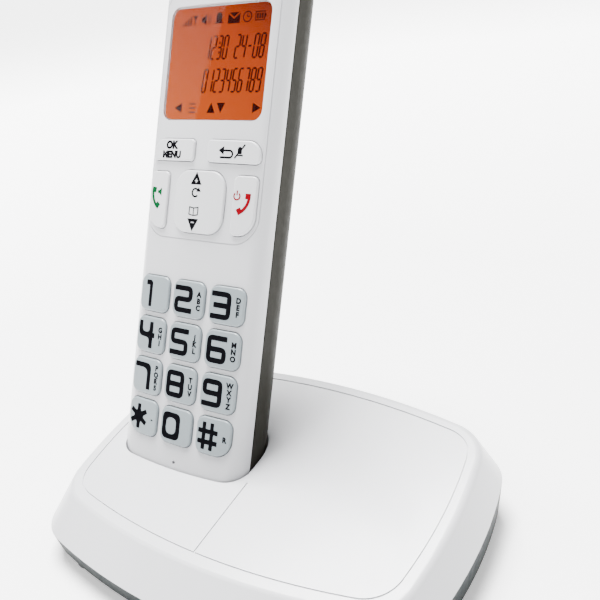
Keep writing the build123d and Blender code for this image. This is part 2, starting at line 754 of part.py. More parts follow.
# ---- paging button in the rear wall, and the switch that it presses ----
page_face, page_flange_back, page_stem_front = 47.7, 42.6, 35.8
page_half_height = page_button_height / 2
with BuildPart() as page_button:
    add(wall_block(page_x, page_button_width, page_flange_back, page_face, page_half_height, 2.9))
    fillet(page_button.faces().sort_by(Axis.Y)[-1].edges(), radius=0.6)
    add(wall_block(page_x, page_button_width + 2.4, page_flange_back - 1, page_flange_back, 3.9, 2.9))
    add(wall_block(page_x, 3.0, page_stem_front, page_flange_back, 1.5, 0.4))
finish(page_button, "page_button")

with BuildPart() as page_switch:
    add(wall_block(page_x, 7.0, 30.2, 34.6, 3.2, 0.4))
finish(page_switch, "page_switch")

# ---- charging pins through the floor of the pocket, their holder and springs ----
pin_seat = pin_flange_bottom - pin_travel - 0.1
with BuildPart() as pin_holder:
    with BuildSketch(cross_plane(pin_holder_bottom)):
        with Locations((0, contact_depth)):
            RectangleRounded(2 * contact_u + 6, 6.0, 1.5)
    extrude(amount=pin_flange_top - pin_holder_bottom)
    with BuildSketch(cross_plane(pin_seat)):
        with Locations(*pin_places):
            Circle(pin_flange_radius + 0.1)
    extrude(amount=pin_flange_top - pin_seat, mode=Mode.SUBTRACT)
finish(pin_holder, "charge_pin_holder")

for side_name, place in (("left", pin_places[0]), ("right", pin_places[1])):
    with BuildPart() as charge_pin:
        with BuildSketch(cross_plane(pin_flange_bottom)):
            with Locations(place):
                Circle(pin_radius)
        extrude(amount=pin_top - pin_flange_bottom)
        fillet(charge_pin.faces().sort_by(up_axis)[-1].edges(), radius=0.7)
        with BuildSketch(cross_plane(pin_flange_bottom)):
            with Locations(place):
                Circle(pin_flange_radius)
        extrude(amount=pin_flange_top - pin_flange_bottom)
        with BuildSketch(cross_plane(pin_flange_bottom)):
            with Locations(place):
                Circle(0.75)
        extrude(amount=pin_travel + 1.5, mode=Mode.SUBTRACT)
    finish(charge_pin, "charge_pin_" + side_name)

with BuildPart() as pin_springs:
    for place in pin_places:
        for turn in range(4):
            with Locations(cross_plane(pin_seat + 0.15 + 0.35 * turn) * Location((place[0], place[1], 0))):
                Torus(0.5, 0.14)
finish(pin_springs, "charge_pin_springs")
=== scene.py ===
import json
import math

import bmesh
import bpy
from mathutils import Matrix, Vector
from mathutils.bvhtree import BVHTree


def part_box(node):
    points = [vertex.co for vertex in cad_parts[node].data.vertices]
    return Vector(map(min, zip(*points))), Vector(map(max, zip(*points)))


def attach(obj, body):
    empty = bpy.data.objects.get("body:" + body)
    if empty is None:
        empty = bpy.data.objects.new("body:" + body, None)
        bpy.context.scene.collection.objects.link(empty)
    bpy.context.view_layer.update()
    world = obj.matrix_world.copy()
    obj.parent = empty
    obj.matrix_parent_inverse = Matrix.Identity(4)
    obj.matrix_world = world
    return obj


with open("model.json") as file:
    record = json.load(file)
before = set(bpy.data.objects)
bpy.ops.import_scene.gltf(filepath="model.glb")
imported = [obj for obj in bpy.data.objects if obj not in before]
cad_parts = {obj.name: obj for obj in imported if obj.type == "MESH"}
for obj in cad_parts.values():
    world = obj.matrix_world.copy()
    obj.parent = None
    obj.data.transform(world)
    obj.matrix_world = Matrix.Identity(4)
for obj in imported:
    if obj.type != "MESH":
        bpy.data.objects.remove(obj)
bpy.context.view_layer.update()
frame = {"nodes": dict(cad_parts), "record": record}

MM = 0.001

# ---- the leaning handset: u across, v up its face, both in millimetres ----
LEAN = math.radians(24.76)
FACE_ORIGIN = Vector((-27.9, -6.64, 33.57)) * MM
ACROSS = Vector((1, 0, 0))
UP_FACE = Vector((0, math.sin(LEAN), math.cos(LEAN)))
OUT_OF_FACE = Vector((0, -math.cos(LEAN), math.sin(LEAN)))
KEY_PITCH_U, KEY_PITCH_V = 14.68, 13.42


def on_face(u, v, out=0.0):
    """Point over the handset's face, out millimetres in front of it."""
    return FACE_ORIGIN + (ACROSS * u + UP_FACE * v + OUT_OF_FACE * out) * MM


# ---- camera ----
def add_camera():
    azimuth, elevation, roll = (math.radians(a) for a in (36.39, 23.94, -8.24))
    aim = Vector((-11.56, 45.1, 62.0)) * MM
    distance = 260.11 * MM
    back = Vector((
        math.sin(azimuth) * math.cos(elevation),
        -math.cos(azimuth) * math.cos(elevation),
        math.sin(elevation),
    ))
    level_right = Vector((math.cos(azimuth), math.sin(azimuth), 0))
    level_up = back.cross(level_right)
    right = math.cos(roll) * level_right + math.sin(roll) * level_up
    up = math.cos(roll) * level_up - math.sin(roll) * level_right
    data = bpy.data.cameras.new("camera")
    data.sensor_width = 36.0
    data.lens = 46.25
    data.shift_x = 0.0048
    data.shift_y = -0.027
    data.clip_start = 0.01
    camera = bpy.data.objects.new("camera", data)
    axes = Matrix((right, up, back)).transposed().to_4x4()
    camera.matrix_world = Matrix.Translation(aim + back * distance) @ axes
    bpy.context.scene.collection.objects.link(camera)
    bpy.context.scene.camera = camera
    return camera


camera = add_camera()


# ---- materials ----
class Shader:
    """A Principled material with small helpers for its procedural inputs."""

    def __init__(self, name, colour, roughness, **sockets):
        self.material = bpy.data.materials.new(name)
        self.material.use_nodes = True
        self.tree = self.material.node_tree
        self.bsdf = self.tree.nodes["Principled BSDF"]
        self.bsdf.inputs["Base Color"].default_value = (*colour, 1.0)
        self.bsdf.inputs["Roughness"].default_value = roughness
        for socket, value in sockets.items():
            self.bsdf.inputs[socket.replace("_", " ")].default_value = value
        self.colour = colour
        self.coordinates = self.tree.nodes.new("ShaderNodeTexCoord").outputs["Object"]

    def node(self, kind, **settings):
        made = self.tree.nodes.new(kind)
        for key, value in settings.items():
            if key in made.inputs:
                made.inputs[key].default_value = value
            else:
                setattr(made, key, value)
        return made

    def link(self, out, into):
        self.tree.links.new(out, into)

    def noise(self, per_mm, detail=3.0):
        made = self.node("ShaderNodeTexNoise", Scale=per_mm / MM, Detail=detail)
        self.link(self.coordinates, made.inputs["Vector"])
        return made.outputs["Fac"]

    def ramp(self, factor, low, high, first, second):
        made = self.node("ShaderNodeMapRange")
        self.link(factor, made.inputs["Value"])
        made.inputs["From Min"].default_value = low
        made.inputs["From Max"].default_value = high
        made.inputs["To Min"].default_value = first
        made.inputs["To Max"].default_value = second
        return made.outputs["Result"]

    def mottle(self, per_mm, amount):
        """Slight cloudiness of the colour."""
        mix = self.node("ShaderNodeMix", data_type="RGBA")
        dark = [c * (1 - amount) for c in self.colour]
        light = [min(1.0, c * (1 + amount)) for c in self.colour]
        for socket, value in zip([s for s in mix.inputs if s.type == "RGBA"], (dark, light)):
            socket.default_value = (*value, 1.0)
        self.link(self.ramp(self.noise(per_mm), 0.3, 0.7, 0.0, 1.0), mix.inputs["Factor"])
        colour_out = [s for s in mix.outputs if s.type == "RGBA"][0]
        self.link(colour_out, self.bsdf.inputs["Base Color"])
        return self

    def vary_roughness(self, per_mm, low, high):
        self.link(self.ramp(self.noise(per_mm, 5.0), 0.3, 0.7, low, high), self.bsdf.inputs["Roughness"])
        return self

    def grain(self, per_mm, height, detail=2.0):
        """Moulded texture as a fine bump."""
        bump = self.node("ShaderNodeBump", Distance=height * MM, Strength=1.0)
        self.link(self.noise(per_mm, detail), bump.inputs["Height"])
        self.link(bump.outputs["Normal"], self.bsdf.inputs["Normal"])
        return self


# low, high: range of roughness; grain: waves per millimetre and height in millimetres
def plastic(name, colour, low, high, grain_per_mm, grain_height, mottle=0.02, **sockets):
    shader = Shader(name, colour, (low + high) / 2, **sockets)
    shader.mottle(0.05, mottle).vary_roughness(0.35, low, high).grain(grain_per_mm, grain_height)
    return shader.material


def metal(name, colour, low, high, grain_per_mm=1.5, grain_height=0.004):
    shader = Shader(name, colour, (low + high) / 2, Metallic=1.0)
    shader.mottle(0.3, 0.06).vary_roughness(1.2, low, high).grain(grain_per_mm, grain_height, 6.0)
    return shader.material


def clear_window():
    shader = Shader("window_clear", (1.0, 1.0, 1.0), 0.02, Transmission_Weight=1.0, IOR=1.2)
    shader.vary_roughness(0.02, 0.01, 0.03)
    return shader.material


def lit_display():
    """Amber display: brighter at its lower left, darker at its upper right."""
    shader = Shader("lcd_amber", (0.020, 0.004, 0.001), 0.45, Specular_IOR_Level=0.05)
    low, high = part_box("lcd_panel")
    # Painted reflection: the emission ramps from bright at the lower left to dark at the upper right in place
    # of glare on the window; the amber glow itself is the backlight.
    painted_glare_ramp = shader.node("ShaderNodeVectorMath", operation="DOT_PRODUCT")
    shader.link(shader.coordinates, painted_glare_ramp.inputs[0])
    direction = (ACROSS * 0.55 + UP_FACE * 0.85).normalized()
    painted_glare_ramp.inputs[1].default_value = direction
    start = min(direction.dot(low), direction.dot(high)) + 4 * MM
    end = max(direction.dot(low), direction.dot(high)) - 2 * MM
    along = shader.ramp(painted_glare_ramp.outputs["Value"], start, end, 0.0, 1.0)
    colours = shader.node("ShaderNodeValToRGB")
    stops = colours.color_ramp
    stops.elements[0].color = (0.86, 0.118, 0.003, 1)
    stops.elements[1].color = (0.20, 0.012, 0.001, 1)
    middle = stops.elements.new(0.70)
    middle.color = (0.56, 0.055, 0.001, 1)
    shader.link(along, colours.inputs["Fac"])
    shader.link(colours.outputs["Color"], shader.bsdf.inputs["Emission Color"])
    shader.bsdf.inputs["Emission Strength"].default_value = 1.0
    return shader.material


GLOSS = {"Coat_Weight": 0.25, "Coat_Roughness": 0.14}
SLOT_MATERIALS = {
    "shell_white": plastic("shell_white", (0.535, 0.538, 0.556), 0.30, 0.38, 3.0, 0.003, 0.012, **GLOSS),
    "shell_grey": plastic(
        "shell_grey", (0.019, 0.0183, 0.0145), 0.46, 0.58, 5.0, 0.010, 0.04, Specular_IOR_Level=0.05
    ),
    "base_dark": plastic(
        "base_dark", (0.0045, 0.0085, 0.009), 0.42, 0.54, 5.0, 0.010, 0.05, Specular_IOR_Level=0.06
    ),
    "key_grey": plastic("key_grey", (0.21, 0.245, 0.26), 0.30, 0.42, 4.0, 0.004, 0.02, **GLOSS),
    "key_white": plastic("key_white", (0.565, 0.57, 0.585), 0.28, 0.36, 4.0, 0.003, 0.01, **GLOSS),
    "window": clear_window(),
    "lcd": lit_display(),
    "backlight": plastic("backlight", (0.85, 0.42, 0.16), 0.35, 0.5, 3.0, 0.006, 0.03),
    "rubber_dark": plastic("rubber_dark", (0.022, 0.022, 0.022), 0.6, 0.8, 4.0, 0.02, 0.08),
    "mat_rubber": plastic("mat_rubber", (0.42, 0.44, 0.44), 0.55, 0.7, 3.0, 0.01, 0.04),
    "board_green": plastic("board_green", (0.012, 0.085, 0.035), 0.25, 0.4, 0.8, 0.015, 0.12),
    "steel": metal("steel", (0.55, 0.55, 0.54), 0.25, 0.42),
    "tin": metal("tin", (0.66, 0.65, 0.62), 0.22, 0.38, 0.8, 0.01),
    "gold": metal("gold", (0.83, 0.62, 0.26), 0.18, 0.30),
    "nickel": metal("nickel", (0.70, 0.67, 0.61), 0.16, 0.28),
    "black_plastic": plastic("black_plastic", (0.018, 0.018, 0.019), 0.35, 0.5, 5.0, 0.01, 0.06),
    "cell_wrap": plastic("cell_wrap", (0.030, 0.16, 0.075), 0.22, 0.32, 0.6, 0.01, 0.05, Coat_Weight=0.5),
    "mesh": plastic("mesh", (0.03, 0.03, 0.032), 0.7, 0.85, 2.5, 0.08, 0.2),
}
SLOT_OF = {part["node"]: part["material_slot"] for part in frame["record"]["subparts"]}
for node_name, slot_name in SLOT_OF.items():
    for material_slot in frame["nodes"][node_name].material_slots:
        material_slot.material = SLOT_MATERIALS[slot_name]


def ink(name, colour, roughness=0.45):
    """Printed ink: nearly flat, with the slight unevenness of pad printing."""
    shader = Shader(name, colour, roughness, Specular_IOR_Level=0.0)
    shader.mottle(1.2, 0.12).vary_roughness(2.0, roughness - 0.08, roughness + 0.08)
    return shader.material


INK_BLACK = ink("ink_black", (0.0035, 0.0035, 0.0045), 0.6)
INK_GREEN = ink("ink_green", (0.004, 0.065, 0.020))
INK_RED = ink("ink_red", (0.17, 0.0005, 0.006))
LCD_INK = ink("lcd_segments", (0.006, 0.0005, 0.0005), 0.6)
LCD_INK.node_tree.nodes["Principled BSDF"].inputs["Emission Color"].default_value = (0.10, 0.006, 0.004, 1.0)
LCD_INK.node_tree.nodes["Principled BSDF"].inputs["Emission Strength"].default_value = 0.35


# ---- flat shapes printed on the parts ----
def rounded_corners(points, radius):
    """Closed outline with each corner turned into a small arc; the ends of strokes stay nearly square."""
    made = []
    count = len(points)
    for i, corner in enumerate(points):
        before = Vector(points[i - 1]) - Vector(corner)
        after = Vector(points[(i + 1) % count]) - Vector(corner)
        shorter = min(before.length, after.length)
        cut = min(radius, 0.46 * shorter) if shorter > 2.1 else min(radius, 0.16 * shorter)
        start = Vector(corner) + before.normalized() * cut
        end = Vector(corner) + after.normalized() * cut
        for step in range(6):
            t = step / 5
            made.append(start.lerp(Vector(corner), t).lerp(Vector(corner).lerp(end, t), t))
    return made


def outline_curve(outlines, radius):
    curve = bpy.data.curves.new("outline", "CURVE")
    curve.dimensions = "2D"
    curve.fill_mode = "BOTH"
    for points in outlines:
        smooth = rounded_corners(points, radius) if radius else [Vector(p) for p in points]
        spline = curve.splines.new("POLY")
        spline.points.add(len(smooth) - 1)
        for place, point in zip(spline.points, smooth):
            place.co = (point.x, point.y, 0, 1)
        spline.use_cyclic_u = True
    return curve


def text_curve(text, height, bold):
    curve = bpy.data.curves.new("text", "FONT")
    curve.body = text
    curve.size = height * 1.42
    curve.offset = bold * height
    curve.align_x = "CENTER"
    curve.resolution_u = 4
    return curve


def flat_mesh(curve):
    """Flat mesh of a curve, in the curve's own millimetres."""
    holder = bpy.data.objects.new("holder", curve)
    bpy.context.scene.collection.objects.link(holder)
    bpy.context.view_layer.update()
    mesh = bpy.data.meshes.new_from_object(holder.evaluated_get(bpy.context.evaluated_depsgraph_get()))
    bpy.data.objects.remove(holder)
    return mesh


def surface_of(node):
    """Search tree of a CAD node, for laying prints on it."""
    mesh = frame["nodes"][node].data
    return BVHTree.FromPolygons([v.co for v in mesh.vertices], [list(p.vertices) for p in mesh.polygons])


INK_LIFT, INK_THICKNESS = 0.015, 0.03


def print_on(name, node, parts, material, body, lift=INK_LIFT, depth=None):
    """Lays flat meshes, each with its (u, v) place, on the front of a CAD node as thin solid ink.

    With a depth, they lie flat at that depth below the handset's face instead.
    """
    tree = surface_of(node)
    joined = bmesh.new()
    spot = parts[0][1]
    near = tree.ray_cast(on_face(spot[0] + 1.0, spot[1] + 1.0, 20.0), -OUT_OF_FACE)[0]
    near_out = (near - FACE_ORIGIN).dot(OUT_OF_FACE) / MM if near else 0.0
    for mesh, (u, v) in parts:
        layer = bmesh.new()
        layer.from_mesh(mesh)
        bmesh.ops.remove_doubles(layer, verts=layer.verts, dist=1e-5)
        bmesh.ops.triangulate(layer, faces=layer.faces)
        for vertex in layer.verts:
            start = on_face(u + vertex.co.x, v + vertex.co.y, 20.0)
            hit = tree.ray_cast(start, -OUT_OF_FACE)[0] if depth is None else None
            resting = hit or on_face(u + vertex.co.x, v + vertex.co.y, near_out if depth is None else -depth)
            vertex.co = resting + OUT_OF_FACE * lift * MM
        bmesh.ops.recalc_face_normals(layer, faces=layer.faces)
        if layer.faces and sum((f.normal.dot(OUT_OF_FACE) for f in layer.faces)) < 0:
            bmesh.ops.reverse_faces(layer, faces=layer.faces)
        extruded = bmesh.ops.extrude_face_region(layer, geom=list(layer.faces))
        raised = [g for g in extruded["geom"] if isinstance(g, bmesh.types.BMVert)]
        bmesh.ops.translate(layer, verts=raised, vec=OUT_OF_FACE * INK_THICKNESS * MM)
        bmesh.ops.recalc_face_normals(layer, faces=layer.faces)
        piece = bpy.data.meshes.new("layer")
        layer.to_mesh(piece)
        layer.free()
        joined.from_mesh(piece)
        bpy.data.meshes.remove(piece)
    data = bpy.data.meshes.new(name)
    joined.to_mesh(data)
    joined.free()
    data.materials.append(material)
    made = bpy.data.objects.new(name, data)
    bpy.context.scene.collection.objects.link(made)
    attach(made, body)
    return made


def box_outline(left, bottom, right, top):
    return [(left, bottom), (right, bottom), (right, top), (left, top)]


def ring_outline(x, y, radius, start=0.0, end=360.0, steps=24):
    return [
        (x + radius * math.cos(math.radians(start + (end - start) * i / steps)),
         y + radius * math.sin(math.radians(start + (end - start) * i / steps)))
        for i in range(steps if end - start >= 360 else steps + 1)
    ]


def arc_band(x, y, inner, outer, start, end, steps=16):
    """Part of a ring as one outline."""
    far = ring_outline(x, y, outer, start, end, steps)
    near = ring_outline(x, y, inner, start, end, steps)
    return far + near[::-1]


# ---- numerals: square strokes on a grid, drawn as outlines ----
GLYPH_W, GLYPH_H, STROKE = 7.3, 8.5, 1.6
X = (0.0, STROKE, GLYPH_W - STROKE, GLYPH_W)
Y = (0.0, STROKE, (GLYPH_H - STROKE) / 2, (GLYPH_H + STROKE) / 2, GLYPH_H - STROKE, GLYPH_H)
LOWER_HOLE = box_outline(X[1], Y[1], X[2], Y[2])
UPPER_HOLE = box_outline(X[1], Y[3], X[2], Y[4])
FULL = box_outline(X[0], Y[0], X[3], Y[5])
NUMERALS = {
    "0": [FULL, box_outline(X[1], Y[1], X[2], Y[4])],
    "1": [[(3.1, 0), (4.45, 0), (4.45, Y[5]), (1.6, Y[5]), (1.6, Y[4]), (3.1, Y[4])]],
    "2": [[(X[0], Y[0]), (X[3], Y[0]), (X[3], Y[1]), (X[1], Y[1]), (X[1], Y[2]), (X[3], Y[2]),
           (X[3], Y[5]), (X[0], Y[5]), (X[0], Y[4]), (X[2], Y[4]), (X[2], Y[3]), (X[0], Y[3])]],
    "3": [[(X[0], Y[0]), (X[3], Y[0]), (X[3], Y[5]), (X[0], Y[5]), (X[0], Y[4]), (X[2], Y[4]),
           (X[2], Y[3]), (0.9, Y[3]), (0.9, Y[2]), (X[2], Y[2]), (X[2], Y[1]), (X[0], Y[1])]],
    "4": [[(X[2] - 0.8, Y[0]), (X[3] - 0.8, Y[0]), (X[3] - 0.8, Y[2]), (X[3], Y[2]), (X[3], Y[3]),
           (X[3] - 0.8, Y[3]), (X[3] - 0.8, Y[5]), (X[2] - 0.8, Y[5]), (X[2] - 0.8, Y[3]), (X[1], Y[3]),
           (X[1], Y[5]), (X[0], Y[5]), (X[0], Y[2]), (X[2] - 0.8, Y[2])]],
    "5": [[(X[0], Y[0]), (X[3], Y[0]), (X[3], Y[3]), (X[1], Y[3]), (X[1], Y[4]), (X[3], Y[4]),
           (X[3], Y[5]), (X[0], Y[5]), (X[0], Y[2]), (X[2], Y[2]), (X[2], Y[1]), (X[0], Y[1])]],
    "6": [[(X[0], Y[0]), (X[3], Y[0]), (X[3], Y[3]), (X[1], Y[3]), (X[1], Y[4]), (X[3], Y[4]),
           (X[3], Y[5]), (X[0], Y[5])], LOWER_HOLE],
    "7": [[(X[2], Y[0]), (X[3], Y[0]), (X[3], Y[5]), (X[0], Y[5]), (X[0], Y[4]), (X[2], Y[4])]],
    "8": [FULL, LOWER_HOLE, UPPER_HOLE],
    "9": [[(X[0], Y[0]), (X[3], Y[0]), (X[3], Y[5]), (X[0], Y[5]), (X[0], Y[2]), (X[2], Y[2]),
           (X[2], Y[1]), (X[0], Y[1])], UPPER_HOLE],
}
LEFT_BAR, RIGHT_BAR = (1.5, 2.8), (4.4, 5.7)
LOW_BAR, HIGH_BAR = (1.7, 3.1), (5.0, 6.4)
NUMERALS["#"] = [
    [
        (LEFT_BAR[0], 0), (LEFT_BAR[1], 0), (LEFT_BAR[1], LOW_BAR[0]), (RIGHT_BAR[0], LOW_BAR[0]),
        (RIGHT_BAR[0], 0), (RIGHT_BAR[1], 0), (RIGHT_BAR[1], LOW_BAR[0]), (GLYPH_W, LOW_BAR[0]),
        (GLYPH_W, LOW_BAR[1]), (RIGHT_BAR[1], LOW_BAR[1]), (RIGHT_BAR[1], HIGH_BAR[0]), (GLYPH_W, HIGH_BAR[0]),
        (GLYPH_W, HIGH_BAR[1]), (RIGHT_BAR[1], HIGH_BAR[1]), (RIGHT_BAR[1], GLYPH_H), (RIGHT_BAR[0], GLYPH_H),
        (RIGHT_BAR[0], HIGH_BAR[1]), (LEFT_BAR[1], HIGH_BAR[1]), (LEFT_BAR[1], GLYPH_H), (LEFT_BAR[0], GLYPH_H),
        (LEFT_BAR[0], HIGH_BAR[1]), (0, HIGH_BAR[1]), (0, HIGH_BAR[0]), (LEFT_BAR[0], HIGH_BAR[0]),
        (LEFT_BAR[0], LOW_BAR[1]), (0, LOW_BAR[1]), (0, LOW_BAR[0]), (LEFT_BAR[0], LOW_BAR[0]),
    ],
    box_outline(LEFT_BAR[1], LOW_BAR[1], RIGHT_BAR[0], HIGH_BAR[0]),
]


def star_outline(x, y, arm, half_width, arms=6):
    """Asterisk: square-ended arms round a centre."""
    points = []
    inner = half_width / math.sin(math.pi / arms)
    for k in range(arms):
        angle = math.pi / 2 + 2 * math.pi * k / arms
        along = Vector((math.cos(angle), math.sin(angle)))
        side = Vector((-along.y, along.x))
        centre = Vector((x, y))
        valley = angle - math.pi / arms
        points.append(centre + Vector((math.cos(valley), math.sin(valley))) * inner)
        points.append(centre + along * arm - side * half_width)
        points.append(centre + along * arm + side * half_width)
    return [tuple(p) for p in points]


NUMERALS["*"] = [star_outline(GLYPH_W / 2, GLYPH_H / 2, 4.0, 0.75)]
LETTERS = {
    "2": "ABC", "3": "DEF", "4": "GHI", "5": "JKL", "6": "MNO", "7": "PQRS", "8": "TUV", "9": "WXYZ",
    "#": "R", "*": "-",
}
# node: sign, column and row of the dialling keys
DIAL = {
    "key_1": ("1", -1, 3), "key_2": ("2", 0, 3), "key_3": ("3", 1, 3),
    "key_4": ("4", -1, 2), "key_5": ("5", 0, 2), "key_6": ("6", 1, 2),
    "key_7": ("7", -1, 1), "key_8": ("8", 0, 1), "key_9": ("9", 1, 1),
    "key_star": ("*", -1, 0), "key_0": ("0", 0, 0), "key_hash": ("#", 1, 0),
}
NUMERAL_SHIFT = (-5.5, -GLYPH_H / 2 - 0.1)     # lower left corner of a numeral from the key's middle
NUMERAL_ROUNDING = 2.1
LETTER_HEIGHT, LETTER_U, LETTER_STEP = 1.6, 4.3, 2.1
LETTER_BOLD, TEXT_BOLD = 0.07, 0.09


def dial_legends():
    for node, (sign, column, row) in DIAL.items():
        u, v = column * KEY_PITCH_U, row * KEY_PITCH_V
        digit = flat_mesh(outline_curve(NUMERALS[sign], NUMERAL_ROUNDING))
        parts = [(digit, (u + NUMERAL_SHIFT[0], v + NUMERAL_SHIFT[1]))]
        letters = LETTERS.get(sign, "")
        top = v + (len(letters) - 1) * LETTER_STEP / 2 - LETTER_HEIGHT / 2
        for i, letter in enumerate(letters):
            drawn = flat_mesh(text_curve(letter, LETTER_HEIGHT, LETTER_BOLD))
            parts.append((drawn, (u + LETTER_U, top - i * LETTER_STEP)))
        print_on(node + "_legend", node, parts, INK_BLACK, node)


def handset_icon(length, lean):
    """Small receiver seen from the side: a curved grip between two ear pads."""
    outline = arc_band(0, 0, length * 0.64, length * 0.76, 60, 120, 10)
    middle = length * 0.70
    drawn = [(x, y - middle) for x, y in outline]
    pads = []
    for end in (60, 120):
        turn = math.radians(end)
        centre = Vector((math.cos(turn), math.sin(turn))) * middle - Vector((0, middle))
        along = Vector((math.cos(turn), math.sin(turn)))
        side = Vector((-along.y, along.x))
        half, reach = length * 0.10, length * 0.17
        pads.append([tuple(centre + side * half * s + along * reach * a)
                     for s, a in ((-1, -1), (1, -1), (1, 0.35), (-1, 0.35))])
    turned = Matrix.Rotation(math.radians(lean), 2)
    return [[tuple(turned @ Vector(p)) for p in shape] for shape in [drawn] + pads]


def shapes(outlines, place, radius=0.0):
    """One flat mesh for each outline at that place, so that overlapping shapes don't cut each other out."""
    return [(flat_mesh(outline_curve([points], radius)), place) for points in outlines]


ICON_LENGTH = 8.2              # receiver symbols
MENU_TEXT = (("OK", 2.3, (-13.2, 86.8)), ("MENU", 2.05, (-13.0, 83.9)))
NAVIGATION_U = -1.3


def talk_symbol():
    cone = [(0, 0.45), (0.7, 0.45), (1.7, 1.35), (1.7, -1.35), (0.7, -0.45), (0, -0.45)]
    parts = shapes(handset_icon(ICON_LENGTH, 112), (-19.4, 70.6), 0.15)
    parts += shapes([cone], (-17.6, 72.9), 0.05)
    print_on("talk_symbol", "key_talk", parts, INK_GREEN, "key_talk")


def end_symbol():
    power = [arc_band(0, 0, 0.85, 1.3, 130, 410, 18), box_outline(-0.22, 0.3, 0.22, 1.7)]
    parts = shapes(handset_icon(ICON_LENGTH, 240), (18.2, 70.6), 0.15)
    parts += shapes(power, (14.6, 73.3))
    print_on("end_symbol", "key_end", parts, INK_RED, "key_end")


def menu_text():
    parts = [(flat_mesh(text_curve(text, height, TEXT_BOLD)), place) for text, height, place in MENU_TEXT]
    print_on("menu_text", "key_menu", parts, INK_BLACK, "key_menu")


def back_symbol():
    arrow = [
        [(0, 1.3), (2.0, 2.6), (2.0, 0.0)],
        box_outline(1.9, 1.0, 4.2, 1.6),
        arc_band(4.2, 0.25, 0.75, 1.35, -90, 90, 12),
        box_outline(0.7, -1.1, 4.2, -0.5),
    ]
    crossed_microphone = [
        ring_outline(0, 0.9, 0.75),
        box_outline(-0.75, -0.5, 0.75, 0.9),
        box_outline(-1.2, -1.1, 1.2, -0.7),
        [(-1.9, -1.7), (-1.5, -1.9), (1.9, 2.2), (1.5, 2.5)],
    ]
    parts = shapes(arrow, (6.2, 85.4)) + shapes(crossed_microphone, (14.0, 86.3))
    print_on("back_symbol", "key_back", parts, INK_BLACK, "key_back")


def navigation_symbols():
    half, arm, middle = 0.18, 0.63, 1.18
    plus = [
        (-half, middle - arm), (half, middle - arm), (half, middle - half), (arm, middle - half),
        (arm, middle + half), (half, middle + half), (half, middle + arm), (-half, middle + arm),
        (-half, middle + half), (-arm, middle + half), (-arm, middle - half), (-half, middle - half),
    ]
    minus = box_outline(-arm, -1.3, arm, -0.94)
    up = flat_mesh(outline_curve([[(-2.2, 0), (2.2, 0), (0, 3.9)], plus], 0))
    down = flat_mesh(outline_curve([[(-2.2, 0), (0, -3.9), (2.2, 0)], minus], 0))
    book = [
        [(-1.9, -1.1), (-0.15, -1.4), (-0.15, -1.1), (-1.55, -0.85),
         (-1.55, 1.1), (-0.15, 0.9), (-0.15, 1.2), (-1.9, 1.5)],
        [(1.9, -1.1), (1.9, 1.5), (0.15, 1.2), (0.15, 0.9),
         (1.55, 1.1), (1.55, -0.85), (0.15, -1.1), (0.15, -1.4)],
        box_outline(-0.16, -1.4, 0.16, 1.2),
    ]
    redial = [arc_band(0, 0, 0.95, 1.5, 20, 320, 18), [(0.4, 0.35), (2.2, 0.35), (1.3, 1.7)]]
    parts = [(up, (NAVIGATION_U, 75.9)), (down, (NAVIGATION_U, 65.3))]
    parts += shapes(book, (NAVIGATION_U, 67.6)) + shapes(redial, (NAVIGATION_U, 73.4))
    print_on("navigation_symbols", "key_navigation", parts, INK_BLACK, "key_navigation")


# ---- what the display shows: generic icons and digits made of segments ----
SEGMENTS = {
    "0": "abcdef", "1": "bc", "2": "abged", "3": "abgcd", "4": "fgbc", "5": "afgcd", "6": "afgedc",
    "7": "abc", "8": "abcdefg", "9": "abfgcd", "-": "g",
}
DIGIT_ROWS = ((114.8, "1230 24-08"), (104.7, "0123456789"))   # v of each row and what it shows
DIGIT_W, DIGIT_H, DIGIT_STROKE, DIGIT_SLANT = 1.45, 6.9, 0.55, 0.10
DIGIT_START_U, DIGIT_STEP = -5.0, 2.32
ICON_ROW_V, BOTTOM_ROW_V, ARROW_H = 127.0, 98.3, 3.1
FILM_DEPTH, FILM_LEAD = 1.76, 0.08     # picture film below the face, and the segments in front of it
FILM_OUTLINE, FILM_ROUNDING = (-19.3, 96.2, 19.3, 131.0), 3.1


def segment_digit(digit):
    """Outlines of a slanted seven-segment digit with small gaps between its segments."""
    half = DIGIT_H / 2
    gap, side = DIGIT_STROKE * 0.30, DIGIT_STROKE / 2

    def across(y):
        return box_outline(gap, y - side, DIGIT_W - gap, y + side)

    def upright(x, low, high):
        return box_outline(x - side, low + gap, x + side, high - gap)

    bars = {
        "a": across(DIGIT_H), "g": across(half), "d": across(0),
        "b": upright(DIGIT_W, half, DIGIT_H), "c": upright(DIGIT_W, 0, half),
        "e": upright(0, 0, half), "f": upright(0, half, DIGIT_H),
    }
    return [[(x + DIGIT_SLANT * y, y) for x, y in bars[name]] for name in SEGMENTS[digit]]


def display_film():
    """Amber picture area bonded to the back of the window."""
    corners = rounded_corners(box_outline(*FILM_OUTLINE), FILM_ROUNDING)
    sheet = flat_mesh(outline_curve([corners], 0))
    print_on("display_film", "lcd_panel", [(sheet, (0, 0))], SLOT_MATERIALS["lcd"], "handset", 0, FILM_DEPTH)


